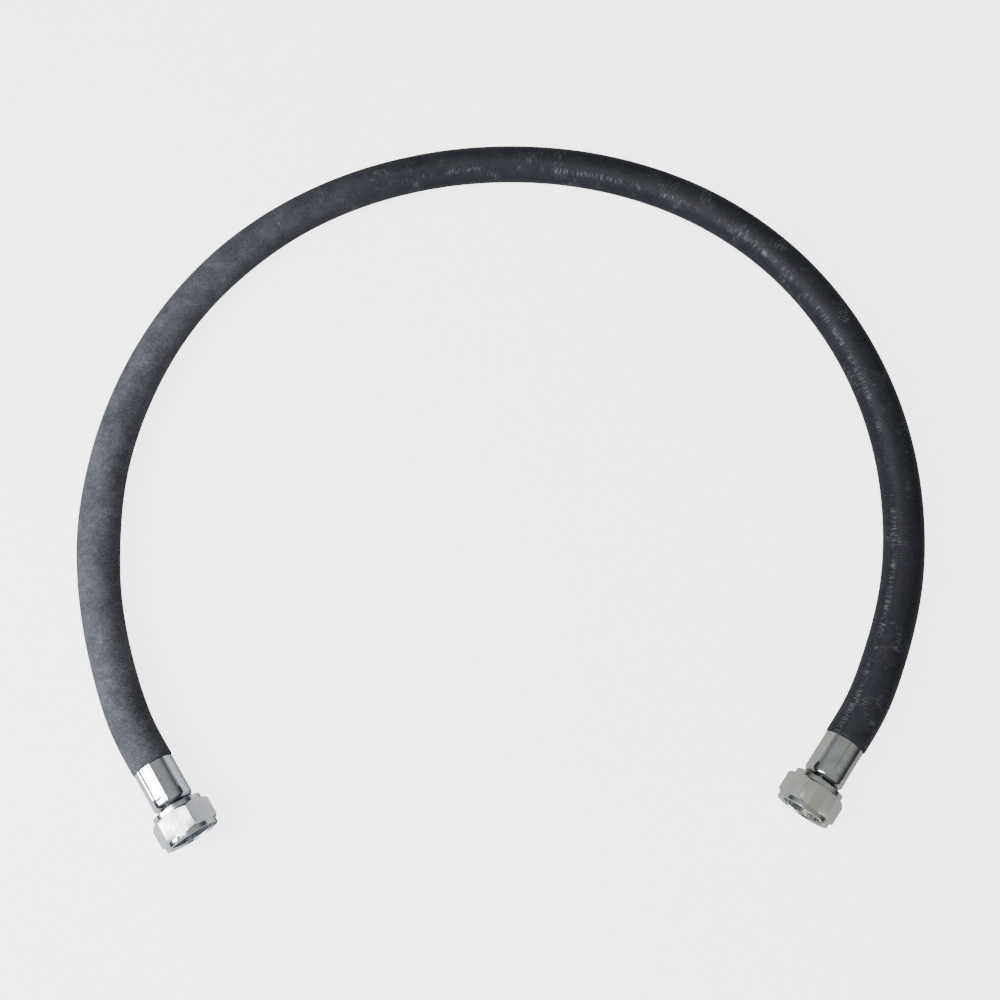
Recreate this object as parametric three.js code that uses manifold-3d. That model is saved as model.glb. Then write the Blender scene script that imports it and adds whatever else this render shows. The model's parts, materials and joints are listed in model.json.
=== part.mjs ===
// Hydraulic hose assembly: a wire-braided rubber hose lying in a wide arc, with a crimped fitting
// and a hexagon swivel nut on each end.
//
// Millimetres, +Z up. The floor is z = 0 and the origin lies on it, midway between the two fittings.
// +X runs from fitting a to fitting b, and the arc bulges towards +Y. Both nuts rest on the floor.
//
// Each fitting is modelled along its own axis: x = 0 is the edge of the ferrule where the hose goes
// in, and x grows towards the open mouth of the nut.

import * as THREE from 'three';
import Module from 'manifold-3d';
import { mergeVertices } from 'three/addons/utils/BufferGeometryUtils.js';

const wasm = await Module();
wasm.setup();

// ---- driving dimensions ----

const GAP = 0.3; // clearance between pieces that meet
const LAYER_GAP = 0.15; // clearance between the bonded layers of the hose
const ROUND = 24; // facets around a turned piece

const HOSE_RADIUS = 19.75;
const LAYERS = {
  // name: [inner radius, outer radius]
  inner_tube: [12.7, 14.8],
  inner_braid: [14.8, 15.9],
  braid_insulation: [15.9, 16.3],
  outer_braid: [16.3, 17.4],
  hose_cover: [17.4, HOSE_RADIUS],
};
const HOSE_SIDES = 12;
const HOSE_STEPS = 24;

const FERRULE = { radius: 18.6, length: 42.2, bore: 16.35, wall: 5.7, shoulder: 2.4, mouth: 1.2 };
const GRIP = FERRULE.length - FERRULE.wall - GAP; // how far the braids run into the ferrule
const SQUEEZED = { tube_bore: 12.95, braid_outer: 16.0 }; // radii under the crimp
const SQUEEZE_FROM = -14; // the braids narrow from here, outside the ferrule,
const SQUEEZE_TO = -2; // to here

const BORE = 10; // radius of the oil way
const TAIL = { radius: 12.4, start: 3, groove: 11.7, pitch: 8, grooves: 4 };
const NECK = { radius: 13.8, start: FERRULE.length + GAP };
const HEAD = { radius: 18.6, start: 53, end: 59.5, groove: 16.9, groove_start: 54.7, groove_end: 57.9 };
const NOSE = { tip: 69.5, half_angle: THREE.MathUtils.degToRad(12), base: 17.4, face: 14.4 };
const NOSE_GROOVE = { start: 62.3, end: 65.5, floor: 14.2 };
const ORING = { radius: 15.75, section: 1.2, x: 63.9 };
const WIRE = { radius: 18.5, section: 1.15, x: 56.3 };

const NUT = {
  flats: 50,
  collar: 23.3,
  collar_start: 45.5,
  hex_start: 50.2,
  hex_end: 73,
  ring: 25.4,
  mouth: 77.5,
  thread: 19.95,
  cavity: 20.8,
  cavity_start: 52.3,
  cavity_end: 58.6,
  neck_hole: 15.5,
};
const CHAMFER = Math.tan(THREE.MathUtils.degToRad(30)); // slope of the hexagon's end chamfers

// The nut's front ring is its widest round, so it sets how high the fitting's axis lies.
const AXIS_HEIGHT = NUT.ring;
const FITTINGS = {
  a: { x: -326.5, y: 37.6, turn: -58.3 },
  b: { x: 327.7, y: 29.0, turn: -128.9 },
};

// The hose's centreline from ferrule a to ferrule b: it comes down to the floor and lies on it.
const ROUTE = [
  [-326.5, 37.6, 25.4],
  [-347, 72, 25.2],
  [-364, 111, 24],
  [-387.5, 190.5, 21],
  [-396.5, 272.5, 19.8],
  [-389.5, 355, 19.8],
  [-366.5, 434, 19.8],
  [-329, 507, 19.8],
  [-276.5, 570.5, 19.8],
  [-212, 621.5, 19.8],
  [-137.5, 658, 19.8],
  [-57.5, 679, 19.8],
  [25, 685, 19.8],
  [107, 676.5, 19.8],
  [186, 653, 19.8],
  [259, 614, 19.8],
  [321, 560.5, 19.8],
  [370, 494, 19.8],
  [403.5, 418, 19.8],
  [420.5, 337, 19.8],
  [421, 255, 19.8],
  [405.5, 174, 21],
  [373.5, 98, 24],
  [352, 60.5, 25.2],
  [327.7, 29.0, 25.4],
];

// ---- materials ----

function material(color, roughness, metalness) {
  return new THREE.MeshStandardMaterial({ color, roughness, metalness });
}

const RUBBER = material(0x23262c, 0.75, 0);
const LINER = material(0x17181a, 0.6, 0);
const STEEL_WIRE = material(0x9c9484, 0.4, 0.9);
const ZINC = material(0xa9adae, 0.35, 0.95);
const NUT_ZINC = material(0x9aa09b, 0.45, 0.9);
const SEAL = material(0x121212, 0.5, 0);

// ---- fitting places ----

function fittingAxis(end) {
  const turn = THREE.MathUtils.degToRad(FITTINGS[end].turn);
  return new THREE.Vector3(Math.cos(turn), Math.sin(turn), 0);
}

function fittingPoint(end, x) {
  const { x: px, y: py } = FITTINGS[end];
  return new THREE.Vector3(px, py, AXIS_HEIGHT).addScaledVector(fittingAxis(end), x);
}

// ---- hose ----

// A chain of straight runs between ring centres. Each ring stands halfway between the two runs that
// meet there, so the runs' sides are flat and nested layers stay parallel.
class RingChain extends THREE.Curve {
  constructor(centres) {
    super();
    this.centres = centres;
  }

  nearest(t) {
    return Math.round(t * (this.centres.length - 1));
  }

  run(i) {
    const end = THREE.MathUtils.clamp(i, 1, this.centres.length - 1);
    return this.centres[end].clone().sub(this.centres[end - 1]).normalize();
  }

  getPoint(t) {
    return this.centres[this.nearest(t)].clone();
  }

  getPointAt(u) {
    return this.getPoint(u);
  }

  getTangentAt(u) {
    const i = this.nearest(u);
    return this.run(i).add(this.run(i + 1)).normalize();
  }
}

// Ring centres of a layer: one at each end, the two where the hose narrows into a ferrule, and even
// steps along the route between. startX is where the layer ends, along the fittings' axes.
function layerCentres(startX) {
  const ends = (end) => [startX, SQUEEZE_TO, SQUEEZE_FROM].map((x) => fittingPoint(end, x));
  const route = new THREE.CatmullRomCurve3(ROUTE.map((p) => new THREE.Vector3(...p)), false, 'centripetal');
  const lead = -SQUEEZE_FROM / route.getLength();
  const centres = ends('a');
  for (let i = 1; i < HOSE_STEPS; i += 1) {
    centres.push(route.getPointAt(THREE.MathUtils.lerp(lead, 1 - lead, i / HOSE_STEPS)));
  }
  return centres.concat(ends('b').reverse());
}

// A regular polygon with a flat side down and the same area as the circle it stands for.
const EQUAL_AREA = Math.sqrt(Math.PI / (HOSE_SIDES * Math.sin(Math.PI / HOSE_SIDES) * Math.cos(Math.PI / HOSE_SIDES)));

function polygon(radius) {
  const points = [];
  for (let i = 0; i < HOSE_SIDES; i += 1) {
    const angle = ((i + 0.5) * 2 * Math.PI) / HOSE_SIDES;
    points.push(new THREE.Vector2(radius * Math.cos(angle), radius * Math.sin(angle)));
  }
  return points;
}

// The radius that a point of the hose has under the crimp.
function squeezedRadius(radius) {
  const bore = LAYERS.inner_tube[0] * EQUAL_AREA;
  const braid = LAYERS.outer_braid[1] * EQUAL_AREA;
  const outer = HOSE_RADIUS * EQUAL_AREA;
  if (radius < braid) {
    return THREE.MathUtils.mapLinear(radius, bore, braid, SQUEEZED.tube_bore, SQUEEZED.braid_outer);
  }
  return THREE.MathUtils.mapLinear(radius, braid, outer, SQUEEZED.braid_outer, outer);
}

function squeezeEnds(geometry) {
  const position = geometry.getAttribute('position');
  const p = new THREE.Vector3();
  for (const end of ['a', 'b']) {
    const axis = fittingAxis(end);
    const mouth = fittingPoint(end, 0);
    for (let i = 0; i < position.count; i += 1) {
      p.fromBufferAttribute(position, i).sub(mouth);
      const x = p.dot(axis);
      const away = p.clone().addScaledVector(axis, -x);
      if (x > (SQUEEZE_FROM + SQUEEZE_TO) / 2 && away.length() < 2 * HOSE_RADIUS) {
        away.setLength(squeezedRadius(away.length()));
        p.copy(mouth).addScaledVector(axis, x).add(away);
        position.setXYZ(i, p.x, p.y, p.z);
      }
    }
  }
}

function hoseLayer(name) {
  const [inner, outer] = LAYERS[name];
  const innerGap = name === 'inner_tube' ? 0 : LAYER_GAP;
  const section = new THREE.Shape(polygon(outer * EQUAL_AREA));
  section.holes.push(new THREE.Path(polygon((inner + innerGap) * EQUAL_AREA).reverse()));
  const centres = layerCentres(name === 'hose_cover' ? -GAP : GRIP);
  const extrudePath = new RingChain(centres);
  const geometry = new THREE.ExtrudeGeometry(section, { steps: centres.length - 1, extrudePath });
  squeezeEnds(geometry);
  return geometry;
}

// ---- turned pieces ----

// Turns an outline of [x along the axis, radius] corners, listed once round the section, about the
// X axis.
function turned(outline, segments = ROUND) {
  const points = outline.map(([x, radius]) => new THREE.Vector2(radius, x));
  points.push(points[0].clone());
  const geometry = new THREE.LatheGeometry(points, segments);
  geometry.rotateZ(-Math.PI / 2);
  return geometry;
}

function ringSolid(ring, sides) {
  const outline = [];
  for (let i = 0; i < sides; i += 1) {
    const angle = (i * 2 * Math.PI) / sides;
    outline.push([ring.x + ring.section * Math.sin(angle), ring.radius + ring.section * Math.cos(angle)]);
  }
  return turned(outline);
}

function ferrule() {
  const { radius, length, bore, wall, shoulder, mouth } = FERRULE;
  const hole = TAIL.radius + GAP + 0.3;
  return turned([
    [0, bore + mouth],
    [0, radius - 0.5],
    [0.8, radius],
    [length - shoulder, radius],
    [length - 0.4 * shoulder, radius - 0.25 * shoulder],
    [length, radius - 0.8 * shoulder],
    [length, hole],
    [length - wall, hole],
    [length - wall, bore],
    [2.5, bore],
  ]);
}

// Barbed tail, neck, head with its wire groove, and the 24 degree nose with its seal groove.
function insert() {
  const coneRadius = (x) => NOSE.base - (x - HEAD.end) * Math.tan(NOSE.half_angle);
  const outline = [
    [TAIL.start, BORE],
    [TAIL.start, TAIL.groove - 0.6],
    [TAIL.start + 2, TAIL.radius],
  ];
  for (let i = 0; i < TAIL.grooves; i += 1) {
    const x = TAIL.start + 4 + i * TAIL.pitch;
    outline.push([x, TAIL.radius], [x + 0.6, TAIL.groove], [x + 3.6, TAIL.radius]);
  }
  outline.push(
    [NECK.start, TAIL.radius],
    [NECK.start, NECK.radius],
    [HEAD.start - 0.4, NECK.radius],
    [HEAD.start, HEAD.radius - 0.6],
    [HEAD.groove_start, HEAD.radius - 0.6],
    [HEAD.groove_start, HEAD.groove],
    [HEAD.groove_end, HEAD.groove],
    [HEAD.groove_end, HEAD.radius],
    [HEAD.end, HEAD.radius],
    [HEAD.end, NOSE.base],
    [NOSE_GROOVE.start, coneRadius(NOSE_GROOVE.start)],
    [NOSE_GROOVE.start, NOSE_GROOVE.floor],
    [NOSE_GROOVE.end, NOSE_GROOVE.floor],
    [NOSE_GROOVE.end, coneRadius(NOSE_GROOVE.end)],
    [NOSE.tip - 0.8, coneRadius(NOSE.tip - 0.8)],
    [NOSE.tip, NOSE.face],
    [NOSE.tip, BORE + 0.8],
    [NOSE.tip - 0.8, BORE],
  );
  return turned(outline);
}

// ---- swivel nut ----

function solid(geometry) {
  geometry.deleteAttribute('normal');
  geometry.deleteAttribute('uv');
  const merged = mergeVertices(geometry, 1e-4);
  const vertProperties = new Float32Array(merged.getAttribute('position').array);
  const triVerts = new Uint32Array(merged.getIndex().array);
  return new wasm.Manifold(new wasm.Mesh({ numProp: 3, vertProperties, triVerts }));
}

function geometryOf(manifold) {
  const mesh = manifold.getMesh();
  const geometry = new THREE.BufferGeometry();
  geometry.setAttribute('position', new THREE.BufferAttribute(new Float32Array(mesh.vertProperties), 3));
  geometry.setIndex(new THREE.BufferAttribute(new Uint32Array(mesh.triVerts), 1));
  return geometry;
}

function hexPrism(flats, start, end) {
  const corner = flats / Math.sqrt(3);
  const prism = new THREE.CylinderGeometry(corner, corner, end - start, 6);
  prism.translate(0, (start + end) / 2, 0);
  prism.rotateY(Math.PI / 6); // a flat, not a corner, faces down
  prism.rotateZ(-Math.PI / 2);
  return prism;
}

function nut() {
  const corner = NUT.flats / Math.sqrt(3);
  const reach = corner + 1;
  const rear = NUT.flats / 2 - 1;
  // Both ends of the hexagon are turned down to 30 degree cones.
  const cones = turned([
    [NUT.hex_start, 0],
    [NUT.hex_start, rear],
    [NUT.hex_start + (reach - rear) * CHAMFER, reach],
    [NUT.hex_end - (reach - NUT.ring) * CHAMFER, reach],
    [NUT.hex_end, NUT.ring],
    [NUT.hex_end, 0],
  ], 2 * ROUND);
  const collar = turned([
    [NUT.collar_start, 0],
    [NUT.collar_start, NUT.collar - 0.5],
    [NUT.collar_start + 0.5, NUT.collar],
    [NUT.hex_start + 1, NUT.collar],
    [NUT.hex_start + 1, 0],
  ]);
  const ring = turned([
    [NUT.hex_end - 1, 0],
    [NUT.hex_end - 1, NUT.ring],
    [NUT.mouth - 0.5, NUT.ring],
    [NUT.mouth, NUT.ring - 0.5],
    [NUT.mouth, 0],
  ], 2 * ROUND);
  const hollow = turned([
    [NUT.collar_start - 1, 0],
    [NUT.collar_start - 1, NUT.neck_hole],
    [NUT.cavity_start, NUT.neck_hole],
    [NUT.cavity_start, NUT.cavity],
    [NUT.cavity_end, NUT.cavity],
    [NUT.cavity_end, NUT.thread],
    [NUT.mouth - 1.4, NUT.thread],
    [NUT.mouth, NUT.thread + 1.4],
    [NUT.mouth + 1, NUT.thread + 1.4],
    [NUT.mouth + 1, 0],
  ]);
  const hexagon = solid(hexPrism(NUT.flats, NUT.hex_start, NUT.hex_end)).intersect(solid(cones));
  const body = hexagon.add(solid(collar)).add(solid(ring)).subtract(solid(hollow));
  return geometryOf(body);
}

// ---- assembly ----

function piece(name, geometry, pieceMaterial) {
  const mesh = new THREE.Mesh(geometry, pieceMaterial);
  mesh.name = name;
  return mesh;
}

function fitting(end) {
  const group = new THREE.Group();
  group.add(piece(`ferrule_${end}`, ferrule(), ZINC));
  group.add(piece(`insert_${end}`, insert(), ZINC));
  group.add(piece(`thrust_wire_${end}`, ringSolid(WIRE, 6), STEEL_WIRE));
  group.add(piece(`nose_seal_${end}`, ringSolid(ORING, 8), SEAL));
  group.add(piece(`swivel_nut_${end}`, nut(), NUT_ZINC));
  const { x, y, turn } = FITTINGS[end];
  group.position.set(x, y, AXIS_HEIGHT);
  group.rotation.z = THREE.MathUtils.degToRad(turn);
  return group;
}

const assembly = new THREE.Group();
const layerMaterials = {
  inner_tube: LINER,
  inner_braid: STEEL_WIRE,
  braid_insulation: LINER,
  outer_braid: STEEL_WIRE,
  hose_cover: RUBBER,
};
for (const [name, layerMaterial] of Object.entries(layerMaterials)) {
  assembly.add(piece(name, hoseLayer(name), layerMaterial));
}
for (const end of Object.keys(FITTINGS)) {
  assembly.add(fitting(end));
}

export default assembly;
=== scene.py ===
# %% [markdown]
# # A hydraulic hose assembly
# A thick rubber hose lies on the floor in a wide arc. Each end is crimped onto a steel fitting
# with a hexagon nut that spins freely. Everything here is in metres, in the frame of the packed
# model: the floor is z = 0, +X runs from fitting a to fitting b, and the arc bulges towards +Y.

import json
import math

import bmesh
import bpy
import numpy as np
from mathutils import Matrix, Vector, noise


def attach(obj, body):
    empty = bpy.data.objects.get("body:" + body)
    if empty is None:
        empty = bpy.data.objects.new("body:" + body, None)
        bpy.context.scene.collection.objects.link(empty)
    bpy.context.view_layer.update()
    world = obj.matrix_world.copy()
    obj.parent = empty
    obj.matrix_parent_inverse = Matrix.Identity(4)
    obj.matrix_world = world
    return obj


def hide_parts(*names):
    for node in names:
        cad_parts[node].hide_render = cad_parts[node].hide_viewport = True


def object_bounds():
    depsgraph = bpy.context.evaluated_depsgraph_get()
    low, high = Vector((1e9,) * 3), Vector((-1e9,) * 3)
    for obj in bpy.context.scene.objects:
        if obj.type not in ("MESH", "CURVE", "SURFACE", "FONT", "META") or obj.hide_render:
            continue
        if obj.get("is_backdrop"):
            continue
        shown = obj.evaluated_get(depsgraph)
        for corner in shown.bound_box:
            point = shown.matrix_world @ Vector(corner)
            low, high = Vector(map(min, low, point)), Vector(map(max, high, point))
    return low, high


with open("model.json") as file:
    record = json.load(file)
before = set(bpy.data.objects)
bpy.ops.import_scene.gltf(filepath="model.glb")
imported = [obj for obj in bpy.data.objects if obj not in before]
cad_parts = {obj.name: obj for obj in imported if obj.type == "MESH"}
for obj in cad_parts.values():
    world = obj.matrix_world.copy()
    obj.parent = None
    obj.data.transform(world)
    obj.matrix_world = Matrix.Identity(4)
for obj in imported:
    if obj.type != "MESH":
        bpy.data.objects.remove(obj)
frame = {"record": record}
cad_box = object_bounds()
MM = 0.001  # a millimetre, in metres

# %% [markdown]
# ## The camera
# The camera stands about a metre above the floor and looks steeply down at the arc. A lens as
# long as the sensor is wide gives a natural view that takes in a metre of floor. It is made first,
# because where it looks decides how much of the hose counts as seen.

# %% Camera
CAMERA_PLACE = (0.0133, -0.0121, 0.9996)
LOOK_DOWN = 73.1  # degrees below the horizon
CAMERA_ROLL = -2.7  # degrees

camera = bpy.data.objects.new("camera", bpy.data.cameras.new("camera"))
camera.data.sensor_width = 36
camera.data.lens = 36
bpy.context.scene.collection.objects.link(camera)
tilt = Matrix.Rotation(math.radians(90 - LOOK_DOWN), 4, "X")
roll = Matrix.Rotation(math.radians(CAMERA_ROLL), 4, "Z")
camera.matrix_world = Matrix.Translation(CAMERA_PLACE) @ tilt @ roll
bpy.context.scene.camera = camera
print(f"camera {CAMERA_PLACE[2]:.2f} m up, looking down by {LOOK_DOWN} degrees")

# %% [markdown]
# ## Where the fittings are
# Each nut spins on a hinge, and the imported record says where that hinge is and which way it
# points. The hinge's point is the middle of the ferrule's edge where the hose goes in, and its
# axis points out of the nut's mouth, so these two facts place a whole fitting. Pieces of a fitting
# are made along +X from that edge, and this matrix then carries them to their place.

# %% Fitting places
spins = {joint["name"]: joint for joint in frame["record"]["behaviour"]["joints"]}


def fitting_matrix(end):
    joint = spins[f"nut_{end}_spin"]
    along = Vector(joint["axis"]).normalized()
    across = Vector((0, 0, 1)).cross(along).normalized()
    turn = Matrix((along, across, along.cross(across))).transposed().to_4x4()
    return Matrix.Translation(joint["pos_m"]) @ turn


FITTINGS = {end: fitting_matrix(end) for end in ("a", "b")}
for end, matrix in FITTINGS.items():
    print("fitting", end, "at", [round(c, 4) for c in matrix.translation])

# %% [markdown]
# ## The hose's route
# A stiff hose takes one long even curve: it comes straight out of the ferrule, sinks to the floor
# and sweeps round. The route is a short list of points, and a cubic spline goes through them. The
# points were not set by eye: they are spaced along a smooth curve that was fitted to how the real
# hose lies, and rounded. A spline keeps the bend changing smoothly, so the highlight along the
# rubber has no kinks in it. Two more points inside the ferrules keep the ends straight.

# %% Route of the hose, in metres
ROUTE = [
    (-0.3265, 0.0376, 0.0254),
    (-0.347, 0.072, 0.0252),
    (-0.364, 0.111, 0.024),
    (-0.3875, 0.1905, 0.021),
    (-0.3965, 0.2725, 0.0198),
    (-0.3895, 0.355, 0.0198),
    (-0.3665, 0.434, 0.0198),
    (-0.329, 0.507, 0.0198),
    (-0.2765, 0.5705, 0.0198),
    (-0.212, 0.6215, 0.0198),
    (-0.1375, 0.658, 0.0198),
    (-0.0575, 0.679, 0.0198),
    (0.025, 0.685, 0.0198),
    (0.107, 0.6765, 0.0198),
    (0.186, 0.653, 0.0198),
    (0.259, 0.614, 0.0198),
    (0.321, 0.5605, 0.0198),
    (0.370, 0.494, 0.0198),
    (0.4035, 0.418, 0.0198),
    (0.4205, 0.337, 0.0198),
    (0.421, 0.255, 0.0198),
    (0.4055, 0.174, 0.021),
    (0.3735, 0.098, 0.024),
    (0.352, 0.0605, 0.0252),
    (0.3277, 0.029, 0.0254),
]
GRIP = 0.036  # the braids run on this far into a ferrule
HOSE_RADIUS = 0.01975


def spline(points, samples):
    """A natural cubic spline through the points, sampled closely."""
    points = np.array(points)
    gaps = np.linalg.norm(np.diff(points, axis=0), axis=1)
    knots = np.concatenate([[0], np.cumsum(gaps)])
    count = len(points)
    system, pull = np.eye(count), np.zeros((count, 3))
    for i in range(1, count - 1):
        system[i, i - 1:i + 2] = gaps[i - 1], 2 * (gaps[i - 1] + gaps[i]), gaps[i]
        ahead = (points[i + 1] - points[i]) / gaps[i]
        behind = (points[i] - points[i - 1]) / gaps[i - 1]
        pull[i] = 6 * (ahead - behind)
    bend = np.linalg.solve(system, pull)
    place = np.linspace(0, knots[-1], samples)
    i = np.clip(np.searchsorted(knots, place, side="right") - 1, 0, count - 2)
    h = gaps[i][:, None]
    low = (knots[i + 1] - place)[:, None]
    high = (place - knots[i])[:, None]
    return (
        (bend[i] * low**3 + bend[i + 1] * high**3) / (6 * h)
        + (points[i] / h - bend[i] * h / 6) * low
        + (points[i + 1] / h - bend[i + 1] * h / 6) * high
    )


inside_a = FITTINGS["a"] @ Vector((GRIP, 0, 0))
inside_b = FITTINGS["b"] @ Vector((GRIP, 0, 0))
SAMPLES = 6000  # about three to a millimetre
centreline = spline([tuple(inside_a), *ROUTE, tuple(inside_b)], SAMPLES)
strides = np.linalg.norm(np.diff(centreline, axis=0), axis=1)
walked = np.concatenate([[0], np.cumsum(strides)])
HOSE_LENGTH = walked[-1] - 2 * GRIP
print(f"hose between the ferrules: {HOSE_LENGTH:.4f} m")

# %% [markdown]
# ## Rolled rubber
# Every layer of the hose is a tube. A curve with a round bevel would be the quick way, but a
# wrapped hose is not perfectly round, and its layers are squeezed thinner inside the ferrules.
# So each tube is made as a real one is: a flat sheet, rolled round the centreline. The sheet is a
# grid that brings its own UV map, with U running along the hose and V around it, and that is what
# the rubber's pattern follows.

# %% A sheet rolled round the centreline
WELD = 1e-6  # metres: points closer than this become one


def sample(places):
    """Points of the centreline at these distances from its start."""
    return np.column_stack([np.interp(places, walked, centreline[:, i]) for i in range(3)])


def stations(start, stop, rings):
    """Even distances along the hose, with each ring's centre and its directions left and up."""
    distance = np.linspace(start, stop, rings + 1)
    places = distance + GRIP
    along = sample(places + MM) - sample(places - MM)
    along /= np.linalg.norm(along, axis=1)[:, None]
    left = np.cross((0, 0, 1), along)
    left /= np.linalg.norm(left, axis=1)[:, None]
    return distance, sample(places), left, np.cross(along, left)


def roll_sheet(bm, start, stop, rings, sides, half_sizes):
    """Rolls a grid into a tube. half_sizes(distance, angle) gives its half width and half height."""
    made = bmesh.ops.create_grid(bm, x_segments=rings, y_segments=sides, size=0.5, calc_uvs=True)
    distance, centres, left, up = stations(start, stop, rings)
    for vert in made["verts"]:
        i = round((vert.co.x + 0.5) * rings)
        angle = (vert.co.y + 0.5) * math.tau
        wide, high = half_sizes(distance[i], angle)
        vert.co = centres[i] - wide * math.sin(angle) * left[i] - high * math.cos(angle) * up[i]
    bmesh.ops.remove_doubles(bm, verts=made["verts"], dist=WELD)


def join_rims(bm, centre, reach):
    """Closes a tube's end: joins the outer and the inner open rim that lie round this point."""

    def near(edge):
        return all((vert.co - centre).length < reach for vert in edge.verts)

    rims = [edge for edge in bm.edges if edge.is_boundary and near(edge)]
    bmesh.ops.bridge_loops(bm, edges=rims)


def laid_tube(start, stop, outer, inner, rings=(300, 150), sides=(32, 32)):
    """A tube with a wall: an outer and an inner rolled sheet, joined at both ends."""
    bm = bmesh.new()
    uv = bm.loops.layers.uv.new("UVMap")
    roll_sheet(bm, start, stop, rings[0], sides[0], outer)
    roll_sheet(bm, start, stop, rings[1], sides[1], inner)
    for face in bm.faces:
        for loop in face.loops:
            loop[uv].uv = (start + loop[uv].uv.x * (stop - start), loop[uv].uv.y)
    for centre in stations(start, stop, 1)[1]:
        join_rims(bm, Vector(centre), 1.5 * HOSE_RADIUS)
    bmesh.ops.recalc_face_normals(bm, faces=bm.faces[:])
    return bm


# %% [markdown]
# ## From a bmesh to a finished piece
# A finished piece needs the same few things every time: a mesh, an object, smooth shading that
# still breaks at real edges, the body it rides on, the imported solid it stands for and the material
# slot it takes its finish from. One function does them all, so no piece misses one.

# %% Finishing a piece
SHARP = math.radians(34)  # an edge that turns more than this stays crisp


def finish_piece(bm, name, body, node, finish, sharp=SHARP, more=()):
    """Makes the object. Faces with a material index above 0 take their finish from more."""
    for face in bm.faces:
        face.smooth = True
    for edge in bm.edges:
        edge.smooth = len(edge.link_faces) == 2 and edge.calc_face_angle(0) < sharp
    mesh = bpy.data.meshes.new(name)
    bm.to_mesh(mesh)
    bm.free()
    piece = bpy.data.objects.new(name, mesh)
    bpy.context.scene.collection.objects.link(piece)
    for each in (finish, *more):
        mesh.materials.append(each)
    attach(piece, body)
    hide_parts(node)
    triangles = sum(len(p.vertices) - 2 for p in mesh.polygons)
    print(f"{name}: {triangles} triangles")
    return piece


# %% [markdown]
# ## Helpers for materials
# A material is a small tree of nodes. This helper adds one node, sets its options, and fills its
# inputs with either a number or another node's output, which keeps each recipe short.

# %% Node helper
def add(tree, kind, inputs=(), **options):
    made = tree.nodes.new("ShaderNode" + kind)
    for option, value in options.items():
        setattr(made, option, value)
    for socket, value in dict(inputs).items():
        if isinstance(value, bpy.types.NodeSocket):
            tree.links.new(value, made.inputs[socket])
        else:
            made.inputs[socket].default_value = value
    return made


def math_of(tree, operation, first, second=0.0, third=0.0):
    return add(tree, "Math", {0: first, 1: second, 2: third}, operation=operation).outputs[0]


def graded(tree, factor, low, high, bottom=0.0, top=1.0):
    """Spreads factor from low..high over bottom..top, with soft ends."""
    inputs = {"Value": factor, "From Min": low, "From Max": high, "To Min": bottom, "To Max": top}
    return add(tree, "MapRange", inputs, interpolation_type="SMOOTHSTEP").outputs[0]


def mixed(tree, factor, first, second):
    inputs = {"Factor": factor, "A": first, "B": second}
    made = add(tree, "Mix", data_type="RGBA")
    for name, value in inputs.items():
        socket = [s for s in made.inputs if s.name == name and s.enabled][0]
        if isinstance(value, bpy.types.NodeSocket):
            tree.links.new(value, socket)
        else:
            socket.default_value = value
    return [s for s in made.outputs if s.enabled][0]


def new_material(name, metallic=0.0, **constants):
    """A material with only its Principled shader and output; constants are set on the shader itself."""
    material = bpy.data.materials.new(name)
    material.use_nodes = True
    shader = material.node_tree.nodes["Principled BSDF"]
    shader.inputs["Metallic"].default_value = metallic
    for socket, value in constants.items():
        shader.inputs[socket.replace("_", " ")].default_value = value
    return material, material.node_tree, shader


def new_group(name, inputs, outputs):
    group = bpy.data.node_groups.new(name, "ShaderNodeTree")
    for socket, kind, default in inputs:
        made = group.interface.new_socket(socket, in_out="INPUT", socket_type="NodeSocket" + kind)
        if default is not None:
            made.default_value = default
    for socket, kind in outputs:
        group.interface.new_socket(socket, in_out="OUTPUT", socket_type="NodeSocket" + kind)
    return group, group.nodes.new("NodeGroupInput"), group.nodes.new("NodeGroupOutput")


# %% [markdown]
# ## The print of the wrapping cloth
# A thick hose is cured inside a tight spiral of nylon tape. When the tape comes off, its weave
# stays printed in the rubber as fine ribs around the hose, crossed by weaker lines along it. The
# ribs are far too fine to model, about a thousand to a hose, so they are a height for a Bump node.
# The pattern follows the hose, so it is worked out from the UV map. It is a group, because the
# cover and the wire braids under it both need lines that cross.

# %% Group: crossing lines
def crossing_lines_group():
    group, given, out = new_group(
        "crossing lines",
        [
            ("UV", "Vector", None),
            ("Pitch", "Float", 0.0016),  # metres from rib to rib
            ("Lines Around", "Float", 70.0),
            ("Slant", "Float", 1.0),  # pitches that a rib climbs in one turn
            ("Cross", "Float", 0.4),  # height of the lines along, with the ribs' height as 1
        ],
        [("Height", "Float")],
    )
    place = add(group, "SeparateXYZ", {0: given.outputs["UV"]})
    along, around = place.outputs["X"], place.outputs["Y"]
    turns = math_of(group, "DIVIDE", along, given.outputs["Pitch"])
    slanted = math_of(group, "MULTIPLY_ADD", around, given.outputs["Slant"], turns)
    ribs = math_of(group, "SINE", math_of(group, "MULTIPLY", slanted, math.tau))
    count = math_of(group, "MULTIPLY", around, given.outputs["Lines Around"])
    lines = math_of(group, "SINE", math_of(group, "MULTIPLY", count, math.tau))
    height = math_of(group, "MULTIPLY_ADD", lines, given.outputs["Cross"], ribs)
    group.links.new(height, out.inputs["Height"])
    return group


crossing_lines = crossing_lines_group()
print("group:", crossing_lines.name)

# %% [markdown]
# ## Uneven patches
# Nothing on a workshop floor is one even colour. Rubber carries talc and pale scuffs, zinc carries
# cloudy stains. All of these are noise with a threshold, so one group gives a mask of patches with
# a size, a spread and a softness, and each material uses it in its own way.

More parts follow.
